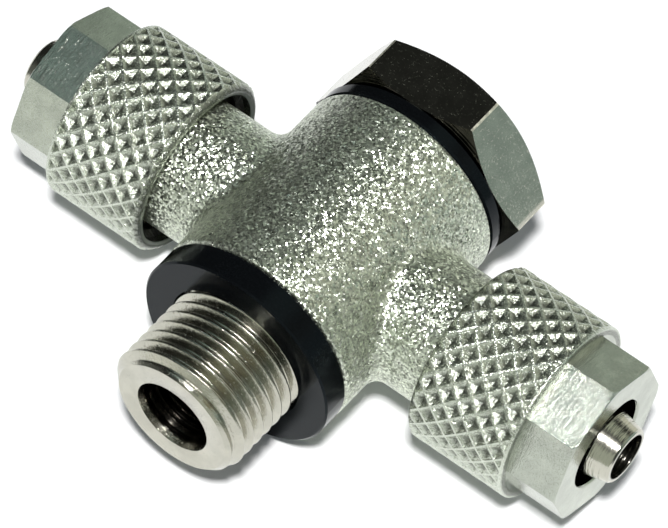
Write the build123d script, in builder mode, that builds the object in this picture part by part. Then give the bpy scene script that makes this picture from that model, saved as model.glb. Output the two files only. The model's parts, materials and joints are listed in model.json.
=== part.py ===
from build123d import *
import math
import os

# Swivel tee fitting for air tube.
# A hollow banjo bolt screws into a port and clamps two washers with the tee's ring between them.
# The ring carries two arms, and each arm ends in a barb under a knurled union nut.
# Sizes are in millimetres. The bolt lies along Y with its thread towards -Y, the arms lie along X.
# The origin is on the bolt axis, in the front face of the port washer that seals on the port.

# Port end of the bolt
thread_dia = 9.66
thread_reach = 6.2
thread_lead = 0.65
relief_depth = 0.7
relief_length = 0.9

# Shank, waist and air bore of the bolt
shank_dia = 9.8
waist_dia = 7.6
waist_length = 7.2
waist_slope = 0.9
air_bore_dia = 5.2
bore_mouth_dia = 5.8
bore_mouth_depth = 0.4
bore_past_arms = 3.2
drill_tip_angle = 118
cross_hole_dia = 3.2

# Head of the bolt
head_flats = 14.0
head_height = 4.0
head_turn = 2.3
chamfer_angle = 30

# Washers
washer_dia = 14.3
port_washer_thickness = 1.9
head_washer_thickness = 1.0
washer_edge = 0.12

# Ring of the tee
ring_dia = 14.4
ring_length = 14.8
ring_edge = 0.3
ring_bore_lead = 0.25

# Arms of the tee
neck_dia = 9.1
neck_end = 11.3
neck_fillet = 1.0
union_thread_height = 0.45
union_thread_start = 11.8
union_thread_end = 16.5
union_thread_lead = 0.4
cone_step = 0.7
seat_angle = 45
barb_root_dia = 4.54
barb_straight_end = 21.55
barb_tip_dia = 3.9
barb_tip = 23.1
barb_edge = 0.12
arm_bore_dia = 3.2

# Union nuts
nut_length = 10.8
nut_mouth_wall = 0.78
knurl_length = 7.3
knurl_lead = 0.3
flats_over_thread = 0.18
nut_sides = 8
end_face_over_flats = 0.48
nut_mouth_step = 0.37
nut_mouth_depth = 0.6
nut_seat_depth = 6.4
tube_hole_dia = 6.3
tube_hole_lead = 0.15

# Where each nut stands on its arm: the distance of its mouth from the bolt axis and its turn
nut_places = {
    "union_nut_right": (1, 10.84, -0.35),
    "union_nut_left": (-1, 10.45, 3.8),
}

# Clearances
swivel_gap = 0.02
running_gap = 0.05

# Places and bores worked out from the sizes above
ring_front = port_washer_thickness + swivel_gap
ring_back = ring_front + ring_length
arm_y = ring_front + ring_length / 2
head_washer_front = ring_back + swivel_gap
head_front = head_washer_front + head_washer_thickness
head_back = head_front + head_height
relief_dia = shank_dia - 2 * relief_depth
shank_hole_dia = shank_dia + 2 * running_gap
washer_hole_dia = max(shank_dia, thread_dia) + 2 * running_gap
union_thread_dia = neck_dia + 2 * union_thread_height
cone_dia = union_thread_dia - 2 * cone_step
nut_thread_dia = union_thread_dia + 2 * running_gap
nut_mouth_dia = nut_thread_dia + 2 * nut_mouth_step
knurl_dia = nut_mouth_dia + 2 * nut_mouth_wall
nut_flats = union_thread_dia + flats_over_thread
nut_end_dia = nut_flats + end_face_over_flats


def across_bolt(y):
    """Section plane across the bolt axis at y, with +X to the right and its normal towards -Y."""
    return Plane.XZ.offset(-y)


def across_arm(x, side=1):
    """Section plane across the arm axis at x, with +Y to the right and its normal outwards."""
    return Plane(origin=(x, arm_y, 0), x_dir=(0, 1, 0), z_dir=(side, 0, 0))


def cone_length(large_dia, small_dia, half_angle):
    """Length along its axis of a cone between two diameters."""
    return (large_dia - small_dia) / 2 / math.tan(math.radians(half_angle))


def chamfer_rise(corner_dia, end_dia):
    """How far a shallow chamfer on a polygon's corners reaches along the axis."""
    return (corner_dia - end_dia) / 2 * math.tan(math.radians(chamfer_angle))


# Banjo bolt: port thread at its major diameter, relief, waisted shank, hexagon head and air bore
waist_front = arm_y - waist_length / 2
waist_back = arm_y + waist_length / 2
bore_end = arm_y + bore_past_arms
head_corner_dia = head_flats / math.cos(math.pi / 6)
head_rise = chamfer_rise(head_corner_dia, head_flats)

with BuildPart() as banjo_bolt:
    with BuildSketch(Plane.XY):
        with BuildLine():
            Polyline(
                (0, -thread_reach),
                (thread_dia / 2 - thread_lead, -thread_reach),
                (thread_dia / 2, thread_lead - thread_reach),
                (thread_dia / 2, 0),
                (relief_dia / 2, 0),
                (relief_dia / 2, relief_length),
                (shank_dia / 2, relief_length),
                (shank_dia / 2, waist_front - waist_slope),
                (waist_dia / 2, waist_front),
                (waist_dia / 2, waist_back),
                (shank_dia / 2, waist_back + waist_slope),
                (shank_dia / 2, head_front),
                (0, head_front),
                close=True,
            )
        make_face()
    revolve(axis=Axis.Y)

    with BuildSketch(across_bolt(head_back)):
        RegularPolygon(head_flats / 2, 6, major_radius=False, rotation=head_turn)
    extrude(amount=head_height)
    with BuildSketch(Plane.XY):
        with BuildLine():
            Polyline(
                (0, -thread_reach),
                (head_flats / 2, -thread_reach),
                (head_flats / 2, head_front),
                (head_corner_dia / 2, head_front + head_rise),
                (head_corner_dia / 2, head_back - head_rise),
                (head_flats / 2, head_back),
                (0, head_back),
                close=True,
            )
        make_face()
    revolve(axis=Axis.Y, mode=Mode.INTERSECT)

    with BuildSketch(Plane.XY):
        with BuildLine():
            Polyline(
                (0, -thread_reach),
                (bore_mouth_dia / 2, -thread_reach),
                (air_bore_dia / 2, bore_mouth_depth - thread_reach),
                (air_bore_dia / 2, bore_end),
                (0, bore_end + cone_length(air_bore_dia, 0, drill_tip_angle / 2)),
                close=True,
            )
        make_face()
    revolve(axis=Axis.Y, mode=Mode.SUBTRACT)

    for drilling in (across_arm(0), Plane((0, arm_y, 0))):
        with BuildSketch(drilling):
            Circle(cross_hole_dia / 2)
        extrude(amount=shank_dia / 2, both=True, mode=Mode.SUBTRACT)


def washer(front, thickness):
    """Flat washer on the bolt's shank with its front face at the given place."""
    with BuildPart() as ring:
        with BuildSketch(across_bolt(front + thickness)):
            Circle(washer_dia / 2)
            Circle(washer_hole_dia / 2, mode=Mode.SUBTRACT)
        extrude(amount=thickness)
        outer_edges = ring.edges().filter_by(GeomType.CIRCLE).group_by(SortBy.RADIUS)[-1]
        chamfer(outer_edges, washer_edge)
    return ring.part


# Tee body: ring, two blended arms with their union thread at its major diameter, cone and barb
with BuildPart() as tee_body:
    with BuildSketch(across_bolt(ring_back)):
        Circle(ring_dia / 2)
    extrude(amount=ring_length)
    with BuildSketch(across_arm(0)):
        Circle(neck_dia / 2)
    extrude(amount=neck_end, both=True)
    seams = tee_body.edges().filter_by(lambda e: e.geom_type not in (GeomType.CIRCLE, GeomType.LINE))
    fillet(seams, neck_fillet)
    rims = tee_body.edges().filter_by(lambda e: e.geom_type == GeomType.CIRCLE and e.radius == ring_dia / 2)
    fillet(rims, ring_edge)

    cone_end = union_thread_end + cone_length(cone_dia, barb_root_dia, seat_angle)
    with BuildSketch(Plane((0, arm_y, 0))):
        with BuildLine():
            Polyline(
                (neck_end, 0),
                (neck_end, neck_dia / 2),
                (union_thread_start - union_thread_lead, neck_dia / 2),
                (union_thread_start, union_thread_dia / 2),
                (union_thread_end - union_thread_lead, union_thread_dia / 2),
                (union_thread_end, union_thread_dia / 2 - union_thread_lead),
                (union_thread_end, cone_dia / 2),
                (cone_end, barb_root_dia / 2),
                (barb_straight_end, barb_root_dia / 2),
                (barb_tip - barb_edge, barb_tip_dia / 2),
                (barb_tip, barb_tip_dia / 2 - barb_edge),
                (barb_tip, 0),
                close=True,
            )
        make_face()
        mirror(about=Plane.YZ)
    revolve(axis=Axis((0, arm_y, 0), (1, 0, 0)))

    with BuildSketch(across_arm(-barb_tip)):
        Circle(arm_bore_dia / 2)
    extrude(amount=2 * barb_tip, mode=Mode.SUBTRACT)
    with BuildSketch(Plane.XY):
        with BuildLine():
            Polyline(
                (0, ring_front),
                (shank_hole_dia / 2 + ring_bore_lead, ring_front),
                (shank_hole_dia / 2, ring_front + ring_bore_lead),
                (shank_hole_dia / 2, ring_back - ring_bore_lead),
                (shank_hole_dia / 2 + ring_bore_lead, ring_back),
                (0, ring_back),
                close=True,
            )
        make_face()
    revolve(axis=Axis.Y, mode=Mode.SUBTRACT)


def union_nut(side, mouth, turn):
    """Union nut with a knurled barrel and an octagon end, its mouth towards the bolt axis."""
    nut_axis = Axis((0, arm_y, 0), (side, 0, 0))
    section = Plane(origin=(side * mouth, arm_y, 0), x_dir=(side, 0, 0), z_dir=(0, 0, side))
    corner_dia = nut_flats / math.cos(math.pi / nut_sides)
    end_rise = chamfer_rise(corner_dia, nut_end_dia)
    seat_end = nut_seat_depth + cone_length(nut_thread_dia, tube_hole_dia, seat_angle)
    mouth_end = nut_mouth_depth + cone_length(nut_mouth_dia, nut_thread_dia, seat_angle)
    with BuildPart() as nut:
        with BuildSketch(across_arm(side * (mouth + knurl_length), side)):
            RegularPolygon(nut_flats / 2, nut_sides, major_radius=False, rotation=turn)
        extrude(amount=nut_length - knurl_length)
        with BuildSketch(section):
            with BuildLine():
                Polyline(
                    (knurl_length, 0),
                    (knurl_length, corner_dia / 2),
                    (nut_length - end_rise, corner_dia / 2),
                    (nut_length, nut_end_dia / 2),
                    (nut_length, 0),
                    close=True,
                )
            make_face()
        revolve(axis=nut_axis, mode=Mode.INTERSECT)
        with BuildSketch(section):
            with BuildLine():
                Polyline(
                    (0, 0),
                    (0, knurl_dia / 2 - knurl_lead),
                    (knurl_lead, knurl_dia / 2),
                    (knurl_length - knurl_lead, knurl_dia / 2),
                    (knurl_length, knurl_dia / 2 - knurl_lead),
                    (knurl_length, 0),
                    close=True,
                )
            make_face()
        revolve(axis=nut_axis)
        with BuildSketch(section):
            with BuildLine():
                Polyline(
                    (0, 0),
                    (0, nut_mouth_dia / 2),
                    (nut_mouth_depth, nut_mouth_dia / 2),
                    (mouth_end, nut_thread_dia / 2),
                    (nut_seat_depth, nut_thread_dia / 2),
                    (seat_end, tube_hole_dia / 2),
                    (nut_length - tube_hole_lead, tube_hole_dia / 2),
                    (nut_length, tube_hole_dia / 2 + tube_hole_lead),
                    (nut_length, 0),
                    close=True,
                )
            make_face()
        revolve(axis=nut_axis, mode=Mode.SUBTRACT)
    return nut.part


pieces = {
    "banjo_bolt": banjo_bolt.part,
    "port_washer": washer(0, port_washer_thickness),
    "head_washer": washer(head_washer_front, head_washer_thickness),
    "tee_body": tee_body.part,
}
for name, place in nut_places.items():
    pieces[name] = union_nut(*place)

os.makedirs("parts", exist_ok=True)
for name, piece in pieces.items():
    piece.label = name
    export_step(piece, f"parts/{name}.step")
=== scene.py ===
"""Looks of a swivel tee fitting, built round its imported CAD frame.

The banjo bolt and the two union nuts are remodelled here with their thread and knurl.
The tee's body and the washers keep their CAD shapes and get their finishes.
Everything is in the CAD frame, in metres: the bolt lies along Y with its thread towards -Y,
the arms lie along X, and the floor is below -Z.
"""

import json
import math

import bmesh
import bpy
from bpy.props import FloatProperty, FloatVectorProperty, IntProperty, PointerProperty
from mathutils import Matrix, Vector


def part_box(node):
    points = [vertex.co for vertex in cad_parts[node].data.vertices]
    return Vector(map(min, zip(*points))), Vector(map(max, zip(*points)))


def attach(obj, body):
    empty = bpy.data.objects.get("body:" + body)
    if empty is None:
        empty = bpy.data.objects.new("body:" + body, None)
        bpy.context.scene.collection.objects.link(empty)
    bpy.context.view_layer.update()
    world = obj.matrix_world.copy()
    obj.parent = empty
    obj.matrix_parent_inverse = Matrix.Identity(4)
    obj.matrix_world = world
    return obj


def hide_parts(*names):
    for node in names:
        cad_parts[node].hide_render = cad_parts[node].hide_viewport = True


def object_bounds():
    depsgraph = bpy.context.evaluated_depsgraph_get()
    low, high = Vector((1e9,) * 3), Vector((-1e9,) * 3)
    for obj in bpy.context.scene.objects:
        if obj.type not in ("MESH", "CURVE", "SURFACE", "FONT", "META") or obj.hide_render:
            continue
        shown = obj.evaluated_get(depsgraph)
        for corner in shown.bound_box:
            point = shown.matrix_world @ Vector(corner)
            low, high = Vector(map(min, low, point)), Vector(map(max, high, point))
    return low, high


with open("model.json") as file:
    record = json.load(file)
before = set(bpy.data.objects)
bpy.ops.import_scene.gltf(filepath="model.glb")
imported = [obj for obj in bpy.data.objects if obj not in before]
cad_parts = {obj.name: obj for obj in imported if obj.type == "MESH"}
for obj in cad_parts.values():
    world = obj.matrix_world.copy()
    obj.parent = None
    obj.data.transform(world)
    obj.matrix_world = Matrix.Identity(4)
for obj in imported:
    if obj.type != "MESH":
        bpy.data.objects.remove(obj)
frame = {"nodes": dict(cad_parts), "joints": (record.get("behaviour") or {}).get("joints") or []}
cad_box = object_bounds()

bl_info = {
    "name": "Swivel Tee Fitting",
    "version": (1, 0, 0),
    "blender": (4, 5, 0),
    "location": "3D View > Sidebar > Fitting",
    "description": "Builds the thread, the knurled nuts and the finishes of a swivel tee fitting",
    "category": "Object",
}

MM = 0.001
TURN = 2 * math.pi
MERGE = 0.0005  # millimetres within which two vertices are one
NEAR = 0.01  # millimetres within which a vertex lies at a place
SMOOTH = 32  # degrees between two faces up to which they are shaded as one
SHADE_PAINTED, RUBBED_HIGHLIT = 1, 2  # places in a piece's list of the finish with painted shade and of the rubbed finish with a painted highlight

JOINTS = {joint["name"]: joint for joint in frame["joints"]}
ARM_Y = JOINTS["swivel"]["pos_m"][1] / MM


# Sizes and colours


class BoltSizes(bpy.types.PropertyGroup):
    """Sizes of the banjo bolt."""

    thread_diameter: FloatProperty(
        name="Thread Diameter", description="Over the crests of the port thread", default=0.00966, unit="LENGTH"
    )
    thread_pitch: FloatProperty(
        name="Thread Pitch", description="From one crest to the next", default=0.000907, unit="LENGTH"
    )
    thread_depth: FloatProperty(
        name="Thread Depth", description="From crest to root", default=0.00058, unit="LENGTH"
    )
    thread_start: FloatProperty(
        name="Thread Start", description="Where a crest passes the top of the bolt", default=0.00009, unit="LENGTH"
    )
    end_face_diameter: FloatProperty(
        name="End Face Diameter", description="Of the flat end inside the thread's lead", default=0.00834,
        unit="LENGTH",
    )
    bore_diameter: FloatProperty(name="Bore Diameter", description="Of the air bore", default=0.0052, unit="LENGTH")
    bore_mouth_diameter: FloatProperty(
        name="Bore Mouth Diameter", description="Of the bore's countersink", default=0.0054, unit="LENGTH"
    )
    shank_diameter: FloatProperty(
        name="Shank Diameter", description="Of the plain shank in the ring", default=0.0098, unit="LENGTH"
    )
    cross_hole_diameter: FloatProperty(
        name="Cross Hole Diameter", description="Of the two drillings through the waist", default=0.0032,
        unit="LENGTH",
    )
    head_flats: FloatProperty(
        name="Head Across Flats", description="Width of the hexagon head", default=0.014, unit="LENGTH"
    )
    head_turn: FloatProperty(
        name="Head Turn", description="Turn of the hexagon about the bolt", default=math.radians(27.7),
        subtype="ANGLE",
    )


class NutSizes(bpy.types.PropertyGroup):
    """Sizes of the union nuts."""

    knurl_diameter: FloatProperty(
        name="Knurl Diameter", description="Over the ridges of the knurl", default=0.0124, unit="LENGTH"
    )
    knurl_depth: FloatProperty(name="Knurl Depth", description="Of the knurl's pits", default=0.0003, unit="LENGTH")
    knurl_pitch: FloatProperty(
        name="Knurl Pitch", description="From pit to pit along the nut", default=0.00145, unit="LENGTH"
    )
    knurl_cells: IntProperty(name="Knurl Cells", description="Pits round the nut", default=26, min=3)
    ridge_width: FloatProperty(
        name="Ridge Width", description="Of the knurl's ridges", default=0.0003, unit="LENGTH"
    )
    end_flats: FloatProperty(
        name="End Across Flats", description="Width of the octagon end", default=0.01018, unit="LENGTH"
    )
    end_face_diameter: FloatProperty(
        name="End Face Diameter", description="Of the end face inside its chamfer", default=0.01066, unit="LENGTH"
    )
    turn_right: FloatProperty(
        name="Right Turn", description="Turn of the right nut's octagon", default=math.radians(-0.35), subtype="ANGLE"
    )
    turn_left: FloatProperty(
        name="Left Turn", description="Turn of the left nut's octagon", default=math.radians(3.8), subtype="ANGLE"
    )
    knurl_turn_right: FloatProperty(
        name="Right Knurl Turn", description="Turn of the right knurl", default=math.radians(161.6), subtype="ANGLE"
    )
    knurl_turn_left: FloatProperty(
        name="Left Knurl Turn", description="Turn of the left knurl", default=math.radians(167.04), subtype="ANGLE"
    )
    knurl_place_right: FloatProperty(
        name="Right Knurl Place", description="From the mouth to a row of pits", default=0.00659, unit="LENGTH"
    )
    knurl_place_left: FloatProperty(
        name="Left Knurl Place", description="From the mouth to a row of pits", default=0.006424, unit="LENGTH"
    )


class Finishes(bpy.types.PropertyGroup):
    """Colours and grain of the finishes."""

    nickel: FloatVectorProperty(
        name="Nickel", description="Bright nickel plating", default=(0.53, 0.52, 0.445), subtype="COLOR", size=3
    )
    blasted: FloatVectorProperty(
        name="Blasted Nickel", description="Nickel over the blasted body", default=(0.68, 0.725, 0.61),
        subtype="COLOR", size=3,
    )
    brushed: FloatVectorProperty(
        name="Brushed Nickel", description="Nickel over the nuts", default=(0.49, 0.52, 0.45),
        subtype="COLOR", size=3,
    )
    # Dark colour painted into the bores and onto the head's front chamfer as painted shade
    painted_shade: FloatVectorProperty(
        name="Dull Nickel", description="Thin plating inside the bores", default=(0.035, 0.032, 0.027),
        subtype="COLOR", size=3,
    )
    plastic: FloatVectorProperty(
        name="Washer Plastic", description="Black plastic of the washers", default=(0.0025, 0.003, 0.0035),
        subtype="COLOR", size=3,
    )
    grain: FloatProperty(
        name="Blast Grain", description="Width of a facet of the blasting", default=0.00015, unit="LENGTH"
    )


class StageLook(bpy.types.PropertyGroup):
    """Camera, key lamp and floor."""

    azimuth: FloatProperty(
        name="Camera Azimuth", description="Round the object", default=math.radians(33.883), subtype="ANGLE"
    )
    elevation: FloatProperty(
        name="Camera Elevation", description="Above the floor", default=math.radians(55.337), subtype="ANGLE"
    )
    roll: FloatProperty(
        name="Camera Roll", description="About its axis", default=math.radians(4.985), subtype="ANGLE"
    )
    distance: FloatProperty(
        name="Camera Distance", description="To the ring's centre", default=0.34978, unit="LENGTH"
    )
    lens: FloatProperty(name="Lens", description="Focal length in millimetres", default=302.56)
    key_power: FloatProperty(name="Key Power", description="Of the key lamp, in watts", default=17.6)
    floor_lift: FloatProperty(name="Floor Lift", description="Added to the floor where it is seen", default=0.05)
    floor: FloatVectorProperty(
        name="Floor", description="Colour of the floor", default=(0.9, 0.9, 0.9), subtype="COLOR", size=3
    )


class FittingSettings(bpy.types.PropertyGroup):
    """All settings of the fitting."""

    bolt: PointerProperty(type=BoltSizes)
    nut: PointerProperty(type=NutSizes)
    finish: PointerProperty(type=Finishes)
    stage: PointerProperty(type=StageLook)


def mm(length):
    """A length property in millimetres, in which the meshes are made."""
    return length / MM


# Mesh tools: meshes are made round the Y axis in millimetres, angles run from +Z towards +X


def angle_of(vert):
    """Angle of a vertex round the Y axis."""
    return math.atan2(vert.co.x, vert.co.z)


def radius_of(vert):
    """Distance of a vertex from the Y axis."""
    return math.hypot(vert.co.x, vert.co.z)


def put(vert, place=None, radius=None):
    """Moves a vertex along the axis or away from it, at its own angle."""
    if radius is not None:
        angle = angle_of(vert)
        vert.co.x, vert.co.z = radius * math.sin(angle), radius * math.cos(angle)
    if place is not None:
        vert.co.y = place


def draw_profile(mesh, points, angle=0.0):
    """Joins points, given as place along the axis and radius, into a chain of edges."""
    verts = [mesh.verts.new((r * math.sin(angle), y, r * math.cos(angle))) for y, r in points]
    return verts + [mesh.edges.new(pair) for pair in zip(verts, verts[1:])]


def turn_profile(mesh, points, steps, angle=0.0):
    """Spins a profile into a closed surface round the axis."""
    chain = draw_profile(mesh, points, angle)
    bmesh.ops.spin(
        mesh, geom=chain, cent=(0, 0, 0), axis=(0, 1, 0), dvec=(0, 0, 0),
        angle=TURN, steps=steps, use_merge=True, use_duplicate=False,
    )
    bmesh.ops.remove_doubles(mesh, verts=mesh.verts, dist=MERGE)


def open_loop(mesh, place):
    """The open edges that lie round the axis at a place."""
    return [e for e in mesh.edges if e.is_boundary and all(abs(v.co.y - place) < NEAR for v in e.verts)]


def grow(mesh, loop, place=None, radius=None):
    """Extrudes an open loop to a new place and radius, and gives the new loop."""
    made = bmesh.ops.extrude_edge_only(mesh, edges=loop)["geom"]
    for vert in (part for part in made if isinstance(part, bmesh.types.BMVert)):
        put(vert, place, radius(vert) if callable(radius) else radius)
    return [part for part in made if isinstance(part, bmesh.types.BMEdge) and part.is_boundary]


def everything(mesh):
    """All vertices, edges and faces of a mesh."""
    return mesh.verts[:] + mesh.edges[:] + mesh.faces[:]


def cut(mesh, place, keep):
    """Cuts the mesh across the axis and keeps the side that keep points to, 1 or -1."""
    bmesh.ops.bisect_plane(
        mesh, geom=everything(mesh), dist=MERGE,
        plane_co=(0, place, 0), plane_no=(0, keep, 0), clear_inner=True,
    )


def polygon_outline(flats, sides, turn):
    """Gives the radius of a regular polygon's outline at an angle, with a corner at turn."""

    def radius(angle):
        half = math.pi / sides
        return flats / 2 / math.cos((angle - turn) % (2 * half) - half)

    return radius


def corner_edges(mesh, low, high):
    """Sharp edges along the axis between two places."""
    least = math.radians(12)
    mesh.normal_update()
    return [
        e for e in mesh.edges
        if e.is_manifold and all(low - MERGE <= v.co.y <= high + MERGE for v in e.verts)
        and abs(e.verts[0].co.y - e.verts[1].co.y) > 0.9 * e.calc_length() and e.calc_face_angle(0) > least
    ]


def paint(mesh, number, inside):
    """Gives a material, by its number, to the faces that lie inside."""
    for face in mesh.faces:
        if all(inside(vert) for vert in face.verts):
            face.material_index = number


def merge(mesh, part):
    """Adds a part to a mesh and frees the part."""
    data = bpy.data.meshes.new("part")
    part.to_mesh(data)
    part.free()
    mesh.from_mesh(data)
    bpy.data.meshes.remove(data)


def new_object(name, mesh, materials=()):
    """Makes a mesh an object at the world's origin, and frees the mesh."""
    data = bpy.data.meshes.new(name)
    mesh.to_mesh(data)
    mesh.free()
    for material in materials:
        data.materials.append(material)
    made = bpy.data.objects.new(name, data)
    bpy.context.scene.collection.objects.link(made)
    return made


def make_piece(name, mesh, place, materials, body, node, smooth=SMOOTH):
    """Turns a mesh in millimetres into the object that stands for a CAD node."""
    bmesh.ops.remove_doubles(mesh, verts=mesh.verts, dist=MERGE)
    bmesh.ops.recalc_face_normals(mesh, faces=mesh.faces)
    open_edges = sum(not e.is_manifold for e in mesh.edges)
    if open_edges:
        raise RuntimeError(f"{name} has {open_edges} open edges")
    mesh.transform(place @ Matrix.Scale(MM, 4))
    for face in mesh.faces:
        face.smooth = True
    piece = new_object(name, mesh, materials)
    piece.data.set_sharp_from_angle(angle=math.radians(smooth))
    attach(piece, body)
    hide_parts(node)
    return piece


def drill(piece, radius, length, place):
    """Drills a hole of a radius and length in millimetres through a piece, along the place's Z."""
    mesh = bmesh.new()
    bmesh.ops.create_cone(
        mesh, cap_ends=True, segments=40, radius1=radius, radius2=radius, depth=length, matrix=place
    )
    mesh.transform(Matrix.Scale(MM, 4))
    cutter = new_object("drill", mesh)
    modifier = piece.modifiers.new("drill", "BOOLEAN")
    modifier.operation, modifier.solver, modifier.object = "DIFFERENCE", "EXACT", cutter
    bpy.context.view_layer.update()
    whole = piece.data
    piece.data = bpy.data.meshes.new_from_object(piece.evaluated_get(bpy.context.evaluated_depsgraph_get()))
    piece.modifiers.clear()
    piece.data.set_sharp_from_angle(angle=math.radians(SMOOTH))
    for unused in (whole, cutter.data):
        bpy.data.meshes.remove(unused)


# Shader tools


class Socket:
    """An output of a shader node. Sums on it add their Math nodes."""

    def __init__(self, finish, output):
        self.finish = finish
        self.output = output

    def math(self, operation, *values):
        return self.finish.add("ShaderNodeMath", {"operation": operation}, dict(enumerate(values)))

    def __add__(self, other):
        return self.math("ADD", self, other)

    def __sub__(self, other):
        return self.math("SUBTRACT", self, other)

    def __rsub__(self, other):
        return self.math("SUBTRACT", other, self)

    def __mul__(self, other):
        return self.math("MULTIPLY", self, other)

    def __pow__(self, other):
        return self.math("POWER", self, other)

    __radd__ = __add__
    __rmul__ = __mul__

    def abs(self):
        return self.math("ABSOLUTE", self)

    def larger_of(self, other):
        return self.math("MAXIMUM", self, other)

    def ramp(self, low, high, to_low=0.0, to_high=1.0):
        """Maps low to high smoothly onto to_low to to_high."""
        settings = {"interpolation_type": "SMOOTHSTEP"}
        values = {"Value": self, "From Min": low, "From Max": high, "To Min": to_low, "To Max": to_high}
        return self.finish.add("ShaderNodeMapRange", settings, values)


class Finish:
    """A material or world and its nodes."""

    def __init__(self, owner):
        owner.use_nodes = True
        self.owner = owner
        self.tree = owner.node_tree
        self.tree.nodes.clear()

    def node(self, kind, settings=None, values=None):
        """Adds a node: its settings first, then the values or links of its sockets."""
        node = self.tree.nodes.new(kind)
        for name, setting in (settings or {}).items():
            setattr(node, name, setting)
        for name, value in (values or {}).items():
            if isinstance(value, Socket):
                self.tree.links.new(value.output, node.inputs[name])
            else:
                target = node.inputs[name]
                if target.type == "RGBA" and len(value) == 3:
                    value = (*value, 1)
                target.default_value = value
        return node

    def add(self, kind, settings=None, values=None, output=0):
        """Adds a node and gives one of its outputs."""
        return Socket(self, self.node(kind, settings, values).outputs[output])

    def places(self):
        """Object coordinates in millimetres."""
        coordinates = self.add("ShaderNodeTexCoord", output="Object")
        return self.add("ShaderNodeVectorMath", {"operation": "SCALE"}, {0: coordinates, "Scale": 1 / MM})

    def vector(self, operation, first, second, output=0):
        """A Vector Math node of two vectors."""
        return self.add("ShaderNodeVectorMath", {"operation": operation}, {0: first, 1: second}, output)

    def split(self, vector):
        """The three numbers of a vector."""
        node = self.node("ShaderNodeSeparateXYZ", values={0: vector})
        return [Socket(self, output) for output in node.outputs]

    def join(self, x, y, z):
        """A vector of three numbers."""
        return self.add("ShaderNodeCombineXYZ", values={0: x, 1: y, 2: z})

    def noise(self, vector, scale, detail, roughness):
        """Noise from 0 to 1."""
        values = {"Vector": vector, "Scale": scale, "Detail": detail, "Roughness": roughness}
        return self.add("ShaderNodeTexNoise", {"noise_dimensions": "3D"}, values)

    def blend(self, factor, first, second):
        """A colour between two colours, by the Mix node's colour sockets."""
        return self.add("ShaderNodeMix", {"data_type": "RGBA"}, {0: factor, 6: first, 7: second}, output=2)

    def bump(self, height, distance, normal=None):
        """A normal bent by a height from 0 to 1 that stands for a distance in millimetres."""
        values = {"Height": height, "Distance": distance * MM, "Strength": 1.0}
        if normal is not None:
            values["Normal"] = normal
        return self.add("ShaderNodeBump", values=values)

    def surface(self, **values):
        """Closes the material with a Principled shader."""
        named = {name.replace("_", " ").title().replace("Ior", "IOR"): value for name, value in values.items()}
        shader = self.add("ShaderNodeBsdfPrincipled", values=named)
        self.node("ShaderNodeOutputMaterial", values={"Surface": shader})
        return self.owner


# Finishes


def shade(colour, share):
    """A colour made darker or lighter."""
    return [min(1, channel * share) for channel in colour]


def off_arms(y, z):
    """Distance of a shaded point from the arms' axis."""
    return ((y - ARM_Y) * (y - ARM_Y) + z * z) ** 0.5


def dull_nickel(finish):
    """Dark nickel painted inside the bores and on the head's front chamfer as painted shade."""
    made = Finish(bpy.data.materials.new("dull_nickel"))
    places = made.places()
    stain = made.noise(places, 1.4, 3.0, 0.6)
    colour = made.blend(stain.ramp(0.3, 0.7), finish.painted_shade, shade(finish.painted_shade, 1.8))
    rings = made.noise(made.join(0.0, made.split(places)[1] * 5, 0.0), 1.0, 2.0, 0.6)
    normal = made.bump(made.noise(places, 5.0, 2.0, 0.5), 0.004)
    normal = made.bump(rings, 0.09, normal=normal)
    return made.surface(base_color=colour, metallic=1.0, roughness=stain.ramp(0.3, 0.7, 0.1, 0.2), normal=normal)


def worn_nickel(finish):
    """Rubbed plating on the head's edges, painted lighter as a highlight, and rough enough to catch the lamp."""
    made = Finish(bpy.data.materials.new("worn_nickel"))
    places = made.places()
    rub_and_highlight = made.noise(places, 3.0, 3.0, 0.6)
    # Painted highlight: the rounded edges are painted up to 1.5 times lighter than the nickel
    colour = made.blend(rub_and_highlight.ramp(0.35, 0.65), finish.nickel, shade(finish.nickel, 1.5))
    normal = made.bump(rub_and_highlight, 0.01)
    return made.surface(base_color=colour, metallic=1.0, roughness=rub_and_highlight.ramp(0.3, 0.7, 0.5, 0.65), normal=normal)


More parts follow.
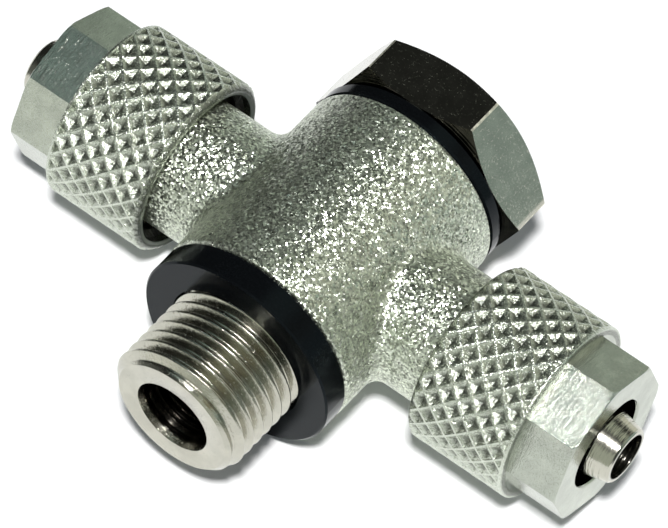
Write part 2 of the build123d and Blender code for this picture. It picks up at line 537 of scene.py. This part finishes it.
def blasted_nickel(finish):
    """Nickel over a shot-blasted body: packed flats that sparkle, painted lighter or darker by their lean, painted
    shade in the arms' bores, and bright turned barbs past the cones.
    """
    made = Finish(bpy.data.materials.new("blasted_nickel"))
    places = made.places()
    x, y, z = made.split(places)
    per_grain = MM / finish.grain
    calm = x.abs().ramp(5.5, 7.5, 0.45, 0.0)  # the ring's flats lean less sideways than the arms'

    def facets(scale):
        """Small flats that each lean their own way, as a height, and a tone for each that follows its lean along X.
        """
        values = {"Vector": places, "Scale": scale, "Randomness": 1.0}
        node = made.node("ShaderNodeTexVoronoi", {"feature": "F1"}, values)
        tone, middle = Socket(made, node.outputs["Color"]), Socket(made, node.outputs["Position"])
        lean = made.vector("SUBTRACT", tone, (0.5, 0.5, 0.5))
        across = made.vector("SUBTRACT", places, middle)
        height = made.vector("DOT_PRODUCT", lean, across, output="Value")
        height = height - made.split(lean)[0] * made.split(across)[0] * calm
        return height, made.split(tone)[0]

    small, tone = facets(per_grain * 1.3)
    large, large_tone = facets(per_grain * 0.65)
    coarse = made.noise(places, 1.1, 2.0, 0.5)
    blasted = x.abs().ramp(11.15, 11.5, 1.0, 0.0)  # 1 up to the cones, 0 on the barbs
    height = (small * 0.78 + large * 0.5) * blasted
    # Painted light and shade: flats facing towards +X, the lamp's side, are painted up to 1.37 times lighter, flats
    # facing away down to 0.45 times
    colour = made.blend(tone, shade(finish.blasted, 1.37), shade(finish.blasted, 0.45))
    colour = made.blend(coarse.ramp(0.35, 0.75, 0.0, 0.3), colour, shade(finish.blasted, 0.85))
    colour = made.blend(blasted, finish.nickel, colour)
    outside_bore_shade = off_arms(y, z).ramp(1.62, 1.7, 0.3)  # 0.3 in the arms' bores, where shade is painted, 1 outside them
    # Painted shade: the arms' bores are blended towards the dark bore colour
    colour = made.blend(outside_bore_shade, finish.painted_shade, colour)
    rough = blasted * (0.1 + 0.17 * large_tone) + 0.17
    turned = made.noise(made.join(x * 4, y * 0.4, z * 0.4), 1.0, 3.0, 0.6)
    normal = made.bump(height, 1.0)
    normal = made.bump(turned * (1 - blasted), 0.06, normal=normal)
    return made.surface(base_color=colour, metallic=1.0, roughness=rough, normal=normal)


def turned_nickel(finish):
    """Bright nickel over the turned bolt: fine rings round the bolt, soft stains and tiny pits in the plating."""
    made = Finish(bpy.data.materials.new("turned_nickel"))
    places = made.places()
    x, y, z = made.split(places)
    radius = (x * x + z * z) ** 0.5
    rings = made.noise(made.join(radius * 9, y * 9, 0.0), 1.0, 2.0, 0.6)
    cloud = made.noise(places, 0.9, 3.0, 0.55)
    speck = made.noise(places, 6.0, 3.0, 0.7)
    pits = speck.ramp(0.57, 0.72)
    colour = made.blend(cloud.ramp(0.35, 0.7), shade(finish.nickel, 0.88), finish.nickel)
    colour = made.blend(pits * 0.25, colour, shade(finish.nickel, 0.6))
    rough = pits * 0.15 + cloud.ramp(0.3, 0.7, 0.12, 0.17)
    thread = y.ramp(-0.3, 0.1, 1.0, 0.0)  # 1 on the port thread, 0 past it
    normal = made.bump(pits, 0.0045)
    normal = made.bump(speck * thread, 0.02, normal=normal)
    normal = made.bump(rings, 0.0025, normal=normal)
    return made.surface(base_color=colour, metallic=1.0, roughness=rough, normal=normal)


def brushed_nickel(finish):
    """Nickel over the nuts: tool marks round the arm, painted shade in the knurl's pits and a painted sheen on the
    knurl, scuffs and soft stains.
    """
    made = Finish(bpy.data.materials.new("brushed_nickel"))
    places = made.places()
    x, y, z = made.split(places)
    marks = made.noise(made.join(x * 10, y * 2.2, z * 2.2), 1.0, 3.0, 0.75)
    lines = made.noise(made.join(x * 5, y * 0.5, z * 0.5), 1.0, 2.0, 0.7)
    cloud = made.noise(places, 0.8, 3.0, 0.55)
    scuff = made.noise(places, 8.0, 3.0, 0.7)
    dents = made.noise(places, 3.5, 2.0, 0.6)
    colour = made.blend(cloud.ramp(0.35, 0.7), shade(finish.brushed, 0.84), finish.brushed)
    colour = made.blend(scuff.ramp(0.55, 0.75, 0.0, 0.45), colour, shade(finish.brushed, 0.45))
    radius = off_arms(y, z)
    knurl = radius.ramp(5.6, 5.75)  # 1 on the knurled band, 0 on the octagon end
    # Painted sheen: the knurled band is painted lighter than the octagon end
    colour = made.blend(knurl * 0.45, colour, shade(finish.brushed, 1.6))
    # Painted shade: the knurl's pits are painted darker towards their bottoms, down to a quarter of the nickel
    colour = made.blend(knurl * radius.ramp(5.95, 6.14, 0.75, 0.0), colour, shade(finish.brushed, 0.25))
    rough = (scuff * 0.6 + lines * 0.4).ramp(0.35, 0.65, 0.13, 0.18) + knurl * 0.1
    normal = made.bump((marks + lines * 1.1) * (1 - knurl), 0.023)
    normal = made.bump(scuff * (1.1 + knurl * 6), 0.006, normal=normal)
    normal = made.bump(dents * knurl, 0.08, normal=normal)
    return made.surface(base_color=colour, metallic=1.0, roughness=rough, normal=normal)


def washer_plastic(finish):
    """Black moulded plastic with a soft gloss."""
    made = Finish(bpy.data.materials.new("washer_plastic"))
    places = made.places()
    cloud = made.noise(places, 0.5, 2.0, 0.5)
    fine = made.noise(places, 9.0, 2.0, 0.6)
    colour = made.blend(fine.ramp(0.4, 0.8), finish.plastic, shade(finish.plastic, 1.8))
    rough = cloud.ramp(0.3, 0.7, 0.12, 0.2)
    normal = made.bump(fine, 0.002)
    return made.surface(
        base_color=colour, metallic=0.0, roughness=rough, specular_ior_level=0.11,
        specular_tint=(0.6, 0.85, 1.0), normal=normal,
    )


# Pieces


def thread_profile(crest, root, pitch, start):
    """One pitch of a rounded 55 degree thread, from root to root, as place and radius."""
    half = math.radians(27.5)
    slope = 1 / math.tan(half)
    bend = (slope * pitch / 2 - (crest - root)) / (2 * (slope * math.cos(half) - (1 - math.sin(half))))
    points = []
    for share in (0, 0.35, 0.7, 1):
        tilt = share * (math.pi / 2 - half)
        points.append((pitch / 2 - bend * math.sin(tilt), root + bend * (1 - math.cos(tilt))))
    for share in (1, 0.7, 0.35, 0):
        tilt = share * (math.pi / 2 - half)
        points.append((bend * math.sin(tilt), crest - bend * (1 - math.cos(tilt))))
    rising = [(start - place, radius) for place, radius in points]
    falling = [(start + place, radius) for place, radius in reversed(points[:-1])]
    return rising + falling


class FITTING_OT_banjo_bolt(bpy.types.Operator):
    """Builds the banjo bolt with its helical port thread, air bore and hexagon head"""

    bl_idname = "fitting.banjo_bolt"
    bl_label = "Banjo Bolt"

    def execute(self, context):
        settings = context.scene.fitting
        sizes = settings.bolt
        low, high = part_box("banjo_bolt")
        end, head_back = low.y / MM, high.y / MM
        head_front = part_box("head_washer")[1].y / MM
        crest = mm(sizes.thread_diameter) / 2
        root = crest - mm(sizes.thread_depth)
        pitch = mm(sizes.thread_pitch)
        face = mm(sizes.end_face_diameter) / 2
        mouth = mm(sizes.bore_mouth_diameter) / 2
        bore = mm(sizes.bore_diameter) / 2
        shank = mm(sizes.shank_diameter) / 2
        steps = 96
        run_out, relief = 0.35, 0.9  # the thread fades from the first place to the second
        turns = math.ceil((relief + 0.5 - end) / pitch) + 1

        mesh = bmesh.new()
        start = mm(sizes.thread_start) - pitch * (turns - 1)
        chain = draw_profile(mesh, thread_profile(crest, root, pitch, start))
        bmesh.ops.spin(
            mesh, geom=chain, cent=(0, 0, 0), axis=(0, 1, 0), dvec=(0, pitch / steps, 0),
            angle=TURN * (turns + 1), steps=steps * (turns + 1), use_merge=False, use_duplicate=False,
        )
        bmesh.ops.remove_doubles(mesh, verts=mesh.verts, dist=MERGE)
        cut(mesh, end, 1)
        cut(mesh, relief, -1)
        for vert in mesh.verts:
            lead = face + (vert.co.y - end)
            tail = crest - (vert.co.y - run_out) * 1.3
            put(vert, radius=min(radius_of(vert), lead, tail))

        loop = open_loop(mesh, end)
        loop = grow(mesh, loop, radius=face - 0.05)
        loop = grow(mesh, loop, radius=mouth + 0.05)
        loop = grow(mesh, loop, end + 0.03, mouth)
        loop = grow(mesh, loop, end + 0.4, bore + 0.02)
        loop = grow(mesh, loop, end + 0.5, bore)
        bore_end = ARM_Y + 3.2
        drill_tip = bore / math.tan(math.radians(59))
        loop = grow(mesh, loop, bore_end, bore)
        grow(mesh, loop, bore_end + drill_tip, 0)

        turn = sizes.head_turn
        flats = mm(sizes.head_flats)
        circle = flats / 2 - 0.06
        neck = min(radius_of(v) for e in open_loop(mesh, relief) for v in e.verts)
        waist = shank - 1.1
        profile = [
            (relief, neck), (relief + 0.02, shank - 0.05), (relief + 0.07, shank),
            (ARM_Y - 4.5, shank), (ARM_Y - 3.6, waist), (ARM_Y + 3.6, waist), (ARM_Y + 4.5, shank),
            (head_front, shank), (head_front, circle), (head_front + 1, flats / 2), (head_back - 1, flats / 2),
            (head_back, circle), (head_back, circle * 0.5), (head_back, 0),
        ]
        turned = bmesh.new()
        turn_profile(turned, profile, 120, turn)
        for vert in turned.verts:
            vert.tag = radius_of(vert) > circle + NEAR
        outline = polygon_outline(flats, 6, turn)
        for vert in turned.verts:
            if vert.tag:
                reach = outline(angle_of(vert))
                rise = (reach - circle) * math.tan(math.radians(30))
                put(vert, head_front + rise if vert.co.y < head_front + 2 else head_back - rise, reach)
        corners = corner_edges(turned, head_front, head_back)
        rounded = bmesh.ops.bevel(
            turned, geom=corners, offset=0.1, offset_type="OFFSET", affect="EDGES",
            segments=3, profile=0.5, material=-1,
        )
        # The rounded corners take the rubbed finish with its painted highlight
        for rounding in rounded["faces"]:
            rounding.material_index = RUBBED_HIGHLIT
        merge(mesh, turned)
        bmesh.ops.bridge_loops(mesh, edges=open_loop(mesh, relief))
        # Painted shade: the bore and the head's front chamfer take the dark finish
        paint(mesh, SHADE_PAINTED, lambda v: radius_of(v) < bore + NEAR and v.co.y < ARM_Y + 5)
        paint(mesh, SHADE_PAINTED, lambda v: radius_of(v) > circle - NEAR and head_front - NEAR < v.co.y < head_front + 0.8)
        materials = [make(settings.finish) for make in (turned_nickel, dull_nickel, worn_nickel)]
        piece = make_piece("bolt", mesh, Matrix.Identity(4), materials, "bolt", "banjo_bolt")
        hole = Matrix.Translation((0, ARM_Y, 0))
        aside = Matrix.Rotation(0.05, 4, "Z")  # keeps the drill's edges off the bolt's
        for place in (hole @ aside, hole @ Matrix.Rotation(math.pi / 2, 4, "Y") @ aside):
            drill(piece, mm(sizes.cross_hole_diameter) / 2, length=9, place=place)
        return {"FINISHED"}


def knurl_sleeve(mesh, sizes, radius, place, turn, low, high):
    """Adds a sleeve of diamond pits between raised ridges round the axis."""
    cells = sizes.knurl_cells
    half_arc = math.pi / cells * radius
    half_pitch = mm(sizes.knurl_pitch) / 2
    depth = mm(sizes.knurl_depth)
    ridge = mm(sizes.ridge_width) / 2
    for x, y in ((0, place), (half_arc, place - half_pitch)):
        verts = bmesh.ops.create_circle(mesh, cap_ends=True, segments=4, radius=1)["verts"]
        bmesh.ops.scale(mesh, vec=(half_arc, half_pitch, 1), verts=verts)
        bmesh.ops.translate(mesh, vec=(x, y, 0), verts=verts)
        pit = verts[0].link_faces[0]
        bmesh.ops.inset_individual(mesh, faces=[pit], thickness=ridge * 0.6, depth=0)
        bmesh.ops.inset_individual(mesh, faces=[pit], thickness=ridge * 0.7, depth=-ridge * 0.45)
        bmesh.ops.poke(mesh, faces=[pit], offset=-(depth - ridge * 0.45))
    pair = everything(mesh)
    rows_below = math.ceil((place - low) / (2 * half_pitch)) + 1
    rows_above = math.ceil((high - place) / (2 * half_pitch)) + 1
    for row in range(-rows_below, rows_above + 1):
        if row:
            copies = bmesh.ops.duplicate(mesh, geom=pair)["geom"]
            moved = [part for part in copies if isinstance(part, bmesh.types.BMVert)]
            bmesh.ops.translate(mesh, vec=(0, row * 2 * half_pitch, 0), verts=moved)
    for vert in mesh.verts:
        angle, reach = turn + vert.co.x / radius, radius + vert.co.z
        vert.co.x, vert.co.z = reach * math.sin(angle), reach * math.cos(angle)
    bmesh.ops.spin(
        mesh, geom=everything(mesh), cent=(0, 0, 0), axis=(0, 1, 0), dvec=(0, 0, 0),
        angle=TURN * (cells - 1) / cells, steps=cells - 1, use_duplicate=True, use_merge=False,
    )
    bmesh.ops.remove_doubles(mesh, verts=mesh.verts, dist=NEAR)
    cut(mesh, low, 1)
    cut(mesh, high, -1)


def nut_mesh(sizes, length, octagon_turn, knurl_place, knurl_turn):
    """A union nut round the Y axis with its mouth at 0."""
    radius = mm(sizes.knurl_diameter) / 2
    knurl_end = 7.3
    sleeve_end = knurl_end - 0.3
    lead = 0.3
    mesh = bmesh.new()
    knurl_sleeve(mesh, sizes, radius, knurl_place, knurl_turn, lead, sleeve_end)
    mouth_loop = open_loop(mesh, lead)
    mouth_loop = grow(mesh, mouth_loop, 0.04, lambda v: min(radius_of(v), radius - 0.28))
    mouth_loop = grow(mesh, mouth_loop, 0.0, lambda v: min(radius_of(v), radius - 0.36))
    back_loop = open_loop(mesh, sleeve_end)
    back_loop = grow(mesh, back_loop, knurl_end - 0.2, radius)
    back_loop = grow(mesh, back_loop, knurl_end - 0.07, radius - 0.01)
    back_loop = grow(mesh, back_loop, knurl_end - 0.02, radius - 0.06)
    back_loop = grow(mesh, back_loop, knurl_end, radius - 0.14)

    face = mm(sizes.end_face_diameter) / 2
    mouth, thread, hole = 5.42, 5.05, 3.15
    mouth_end, seat = 0.6, 6.4
    chamfer = length - 1
    profile = [
        (0, mouth + 0.05), (0.05, mouth), (mouth_end, mouth), (mouth_end + mouth - thread, thread), (seat, thread),
        (seat + thread - hole, hole), (length - 0.15, hole), (length - 0.05, hole + 0.05), (length, hole + 0.15),
        (length, face - 0.02), (length - 0.01, face), (chamfer, 5.2), (knurl_end, 5.3),
    ]
    turned = bmesh.new()
    turn_profile(turned, profile, 96, octagon_turn)
    outline = polygon_outline(mm(sizes.end_flats), 8, octagon_turn)
    for vert in turned.verts:
        reach = outline(angle_of(vert))
        if abs(vert.co.y - chamfer) < MERGE:
            rise = max(0.02, (reach - face) * math.tan(math.radians(30)))
            put(vert, length - 0.01 - rise, reach)
        elif abs(vert.co.y - knurl_end) < MERGE:
            put(vert, radius=reach)
        elif radius_of(vert) > 5.3 and vert.co.y > knurl_end:
            put(vert, radius=min(radius_of(vert), reach - 0.02))
    merge(mesh, turned)
    bmesh.ops.bridge_loops(mesh, edges=open_loop(mesh, 0))
    bmesh.ops.bridge_loops(mesh, edges=open_loop(mesh, knurl_end))
    # Painted shade: the nut's inside takes the dark finish
    paint(mesh, SHADE_PAINTED, lambda v: radius_of(v) < mouth + 0.02 and 0.1 < v.co.y < length - 0.14)
    return mesh


class FITTING_OT_union_nuts(bpy.types.Operator):
    """Builds the two union nuts with their knurl and octagon end"""

    bl_idname = "fitting.union_nuts"
    bl_label = "Union Nuts"

    def execute(self, context):
        settings = context.scene.fitting
        sizes = settings.nut
        materials = [brushed_nickel(settings.finish), dull_nickel(settings.finish)]
        for side, hand in ((1, "right"), (-1, "left")):
            node = "union_nut_" + hand
            low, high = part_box(node)
            ends = sorted(abs(corner.x) / MM for corner in (low, high))
            mesh = nut_mesh(
                sizes, ends[1] - ends[0], getattr(sizes, "turn_" + hand),
                mm(getattr(sizes, "knurl_place_" + hand)), getattr(sizes, "knurl_turn_" + hand),
            )
            place = Matrix((
                (0, side, 0, side * ends[0] * MM),
                (0, 0, 1, ARM_Y * MM),
                (side, 0, 0, 0),
                (0, 0, 0, 1),
            ))
            make_piece("nut_" + hand, mesh, place, materials, "nut_" + hand, node, smooth=22)
        return {"FINISHED"}


class FITTING_OT_tee_body(bpy.types.Operator):
    """Gives the tee's body its blasted nickel finish"""

    bl_idname = "fitting.tee_body"
    bl_label = "Tee Body"

    def execute(self, context):
        node = frame["nodes"]["tee_body"]
        node.material_slots[0].material = blasted_nickel(context.scene.fitting.finish)
        return {"FINISHED"}


class FITTING_OT_washers(bpy.types.Operator):
    """Gives the two washers their black plastic"""

    bl_idname = "fitting.washers"
    bl_label = "Washers"

    def execute(self, context):
        material = washer_plastic(context.scene.fitting.finish)
        for name in ("port_washer", "head_washer"):
            frame["nodes"][name].material_slots[0].material = material
        return {"FINISHED"}


# Stage


KEY_DIRECTION = (0.215, -0.349, 0.912)
KEY_DISTANCE = 1.2
KEY_SIZE = 0.117
PALE_LIGHT = (0.84, 0.93, 1.0)
CAMERA_ASIDE = (0.36 * MM, -0.441 * MM, 0)


def key_lamp(power, aim):
    """A small square softbox, whose light is nearly as hard as a flash."""
    lamp = bpy.data.lights.new("key", "AREA")
    lamp.shape = "SQUARE"
    lamp.size = KEY_SIZE
    lamp.energy = power
    holder = bpy.data.objects.new("key", lamp)
    bpy.context.scene.collection.objects.link(holder)
    towards = Vector(KEY_DIRECTION).normalized()
    turn = towards.to_track_quat("Z", "Y").to_matrix().to_4x4()
    holder.matrix_world = Matrix.Translation(aim + towards * KEY_DISTANCE) @ turn


def studio_world():
    """An even pale light from all sides."""
    made = Finish(bpy.data.worlds.new("studio"))
    shader = made.add("ShaderNodeBackground", values={"Color": PALE_LIGHT, "Strength": 0.11})
    made.node("ShaderNodeOutputWorld", values={"Surface": shader})
    return made.owner


# What the metal reflects of the studio: direction, cosines where it ends and where it is full, and colour
STUDIO_PATCHES = (
    ((0.42, 0.42, 0.80), 0.90, 0.97, (0.55, 0.60, 0.50)),
    ((0.78, 0.45, 0.42), 0.86, 0.98, (0.24, 0.20, 0.12)),
    ((-0.32, -0.20, 0.93), 0.955, 0.985, (0.30, 0.41, 0.40)),
    ((0.55, 0.83, 0.12), 0.80, 0.95, (0.85, 0.86, 0.76)),
    ((-0.32, 0.94, 0.04), 0.85, 0.96, (0.50, 0.57, 0.50)),
    ((0.92, 0.38, -0.06), 0.80, 0.95, (0.35, 0.44, 0.42)),
    ((0.35, -0.93, 0.05), 0.60, 0.90, (0.52, 0.56, 0.49)),
    ((-0.80, -0.60, 0.02), 0.80, 0.96, (0.14, 0.15, 0.14)),
    ((-0.45, -0.87, -0.12), 0.90, 0.97, (1.00, 1.03, 0.96)),
)
STUDIO_DARK = (0.02, 0.021, 0.02)


def studio_tent(centre, floor_level):
    """A dim studio round the object, with pale cards near the horizon, that only reflections see."""
    mesh = bmesh.new()
    profile = [(floor_level, 0.065), (0.02, 0.065), (0.25, 0.7), (0.5, 0.7), (0.75, 0.35), (0.85, 0.0)]
    verts = [mesh.verts.new((radius, 0, height)) for height, radius in profile]
    chain = verts + [mesh.edges.new(pair) for pair in zip(verts, verts[1:])]
    bmesh.ops.spin(
        mesh, geom=chain, cent=(0, 0, 0), axis=(0, 0, 1), dvec=(0, 0, 0),
        angle=TURN, steps=64, use_merge=True, use_duplicate=False,
    )
    bmesh.ops.remove_doubles(mesh, verts=mesh.verts, dist=MERGE * MM)
    bmesh.ops.translate(mesh, vec=(0, centre.y, 0), verts=mesh.verts)
    made = Finish(bpy.data.materials.new("tent"))
    direction = made.vector("SUBTRACT", made.add("ShaderNodeTexCoord", output="Object"), centre)
    direction = made.add("ShaderNodeVectorMath", {"operation": "NORMALIZE"}, {0: direction})
    colour = STUDIO_DARK
    for towards, ends, full, tone in STUDIO_PATCHES:
        near = made.vector("DOT_PRODUCT", direction, Vector(towards).normalized(), output="Value")
        colour = made.blend(near.ramp(ends, full), colour, tone)
    shader = made.add("ShaderNodeEmission", values={"Color": colour, "Strength": 1.0})
    made.node("ShaderNodeOutputMaterial", values={"Surface": shader})
    tent = new_object("tent", mesh, [made.owner])
    for rays in ("camera", "diffuse", "shadow", "transmission", "volume_scatter"):
        setattr(tent, "visible_" + rays, False)


def pale_floor(look):
    """A pale floor that shows white to the camera and in reflections, and keeps the shadow."""
    made = Finish(bpy.data.materials.new("pale_floor"))
    diffuse = made.add("ShaderNodeBsdfDiffuse", values={"Color": look.floor})
    rays = made.node("ShaderNodeLightPath")
    seen = Socket(made, rays.outputs["Is Camera Ray"])
    for kind in ("Is Glossy Ray", "Is Transmission Ray"):
        seen = seen.larger_of(Socket(made, rays.outputs[kind]))
    lift = made.add("ShaderNodeEmission", values={"Color": PALE_LIGHT, "Strength": seen * look.floor_lift})
    shader = made.add("ShaderNodeAddShader", values={0: diffuse, 1: lift})
    made.node("ShaderNodeOutputMaterial", values={"Surface": shader})
    return made.owner


class FITTING_OT_stage(bpy.types.Operator):
    """Builds the floor, the key lamp, the world, the reflected studio and the camera"""

    bl_idname = "fitting.stage"
    bl_label = "Stage"

    def execute(self, context):
        look = context.scene.fitting.stage
        scene = context.scene
        floor_level = cad_box[0].z
        mesh = bmesh.new()
        bmesh.ops.create_grid(mesh, x_segments=8, y_segments=8, size=3.0)
        bmesh.ops.translate(mesh, vec=(0, 0, floor_level), verts=mesh.verts)
        new_object("floor", mesh, [pale_floor(look)])

        centre = Vector((0, ARM_Y * MM, 0))
        key_lamp(look.key_power, centre)
        studio_tent(centre, floor_level)
        scene.world = studio_world()

        lens = bpy.data.cameras.new("photo_camera")
        lens.lens = look.lens
        lens.sensor_width = 36
        lens.clip_start, lens.clip_end = 0.01, 10
        camera = bpy.data.objects.new("photo_camera", lens)
        scene.collection.objects.link(camera)
        turn = (
            Matrix.Rotation(look.azimuth, 4, "Z")
            @ Matrix.Rotation(math.pi / 2 - look.elevation, 4, "X")
            @ Matrix.Rotation(look.roll, 4, "Z")
        )
        back = Vector(CAMERA_ASIDE) + Vector((0, 0, look.distance))
        camera.matrix_world = Matrix.Translation(centre) @ turn @ Matrix.Translation(back)
        scene.camera = camera
        scene.view_settings.view_transform = "Standard"
        return {"FINISHED"}


class FITTING_PT_panel(bpy.types.Panel):
    """Lists the sizes and the pieces"""

    bl_idname = "FITTING_PT_panel"
    bl_label = "Swivel Tee Fitting"
    bl_space_type = "VIEW_3D"
    bl_region_type = "UI"
    bl_category = "Fitting"

    def draw(self, context):
        settings = context.scene.fitting
        for title, group in (
            ("Bolt", settings.bolt), ("Nuts", settings.nut), ("Finishes", settings.finish), ("Stage", settings.stage)
        ):
            box = self.layout.box()
            box.label(text=title)
            for name in group.__annotations__:
                box.prop(group, name)
        for operator in OPERATORS:
            self.layout.operator(operator.bl_idname)


OPERATORS = (
    FITTING_OT_banjo_bolt,
    FITTING_OT_union_nuts,
    FITTING_OT_tee_body,
    FITTING_OT_washers,
    FITTING_OT_stage,
)
CLASSES = (BoltSizes, NutSizes, Finishes, StageLook, FittingSettings, *OPERATORS, FITTING_PT_panel)


def register():
    for cls in CLASSES:
        bpy.utils.register_class(cls)
    bpy.types.Scene.fitting = PointerProperty(type=FittingSettings)


def unregister():
    del bpy.types.Scene.fitting
    for cls in reversed(CLASSES):
        bpy.utils.unregister_class(cls)


def main():
    register()
    bpy.ops.fitting.banjo_bolt()
    bpy.ops.fitting.union_nuts()
    bpy.ops.fitting.tee_body()
    bpy.ops.fitting.washers()
    bpy.ops.fitting.stage()


if __name__ == "__main__":
    main()
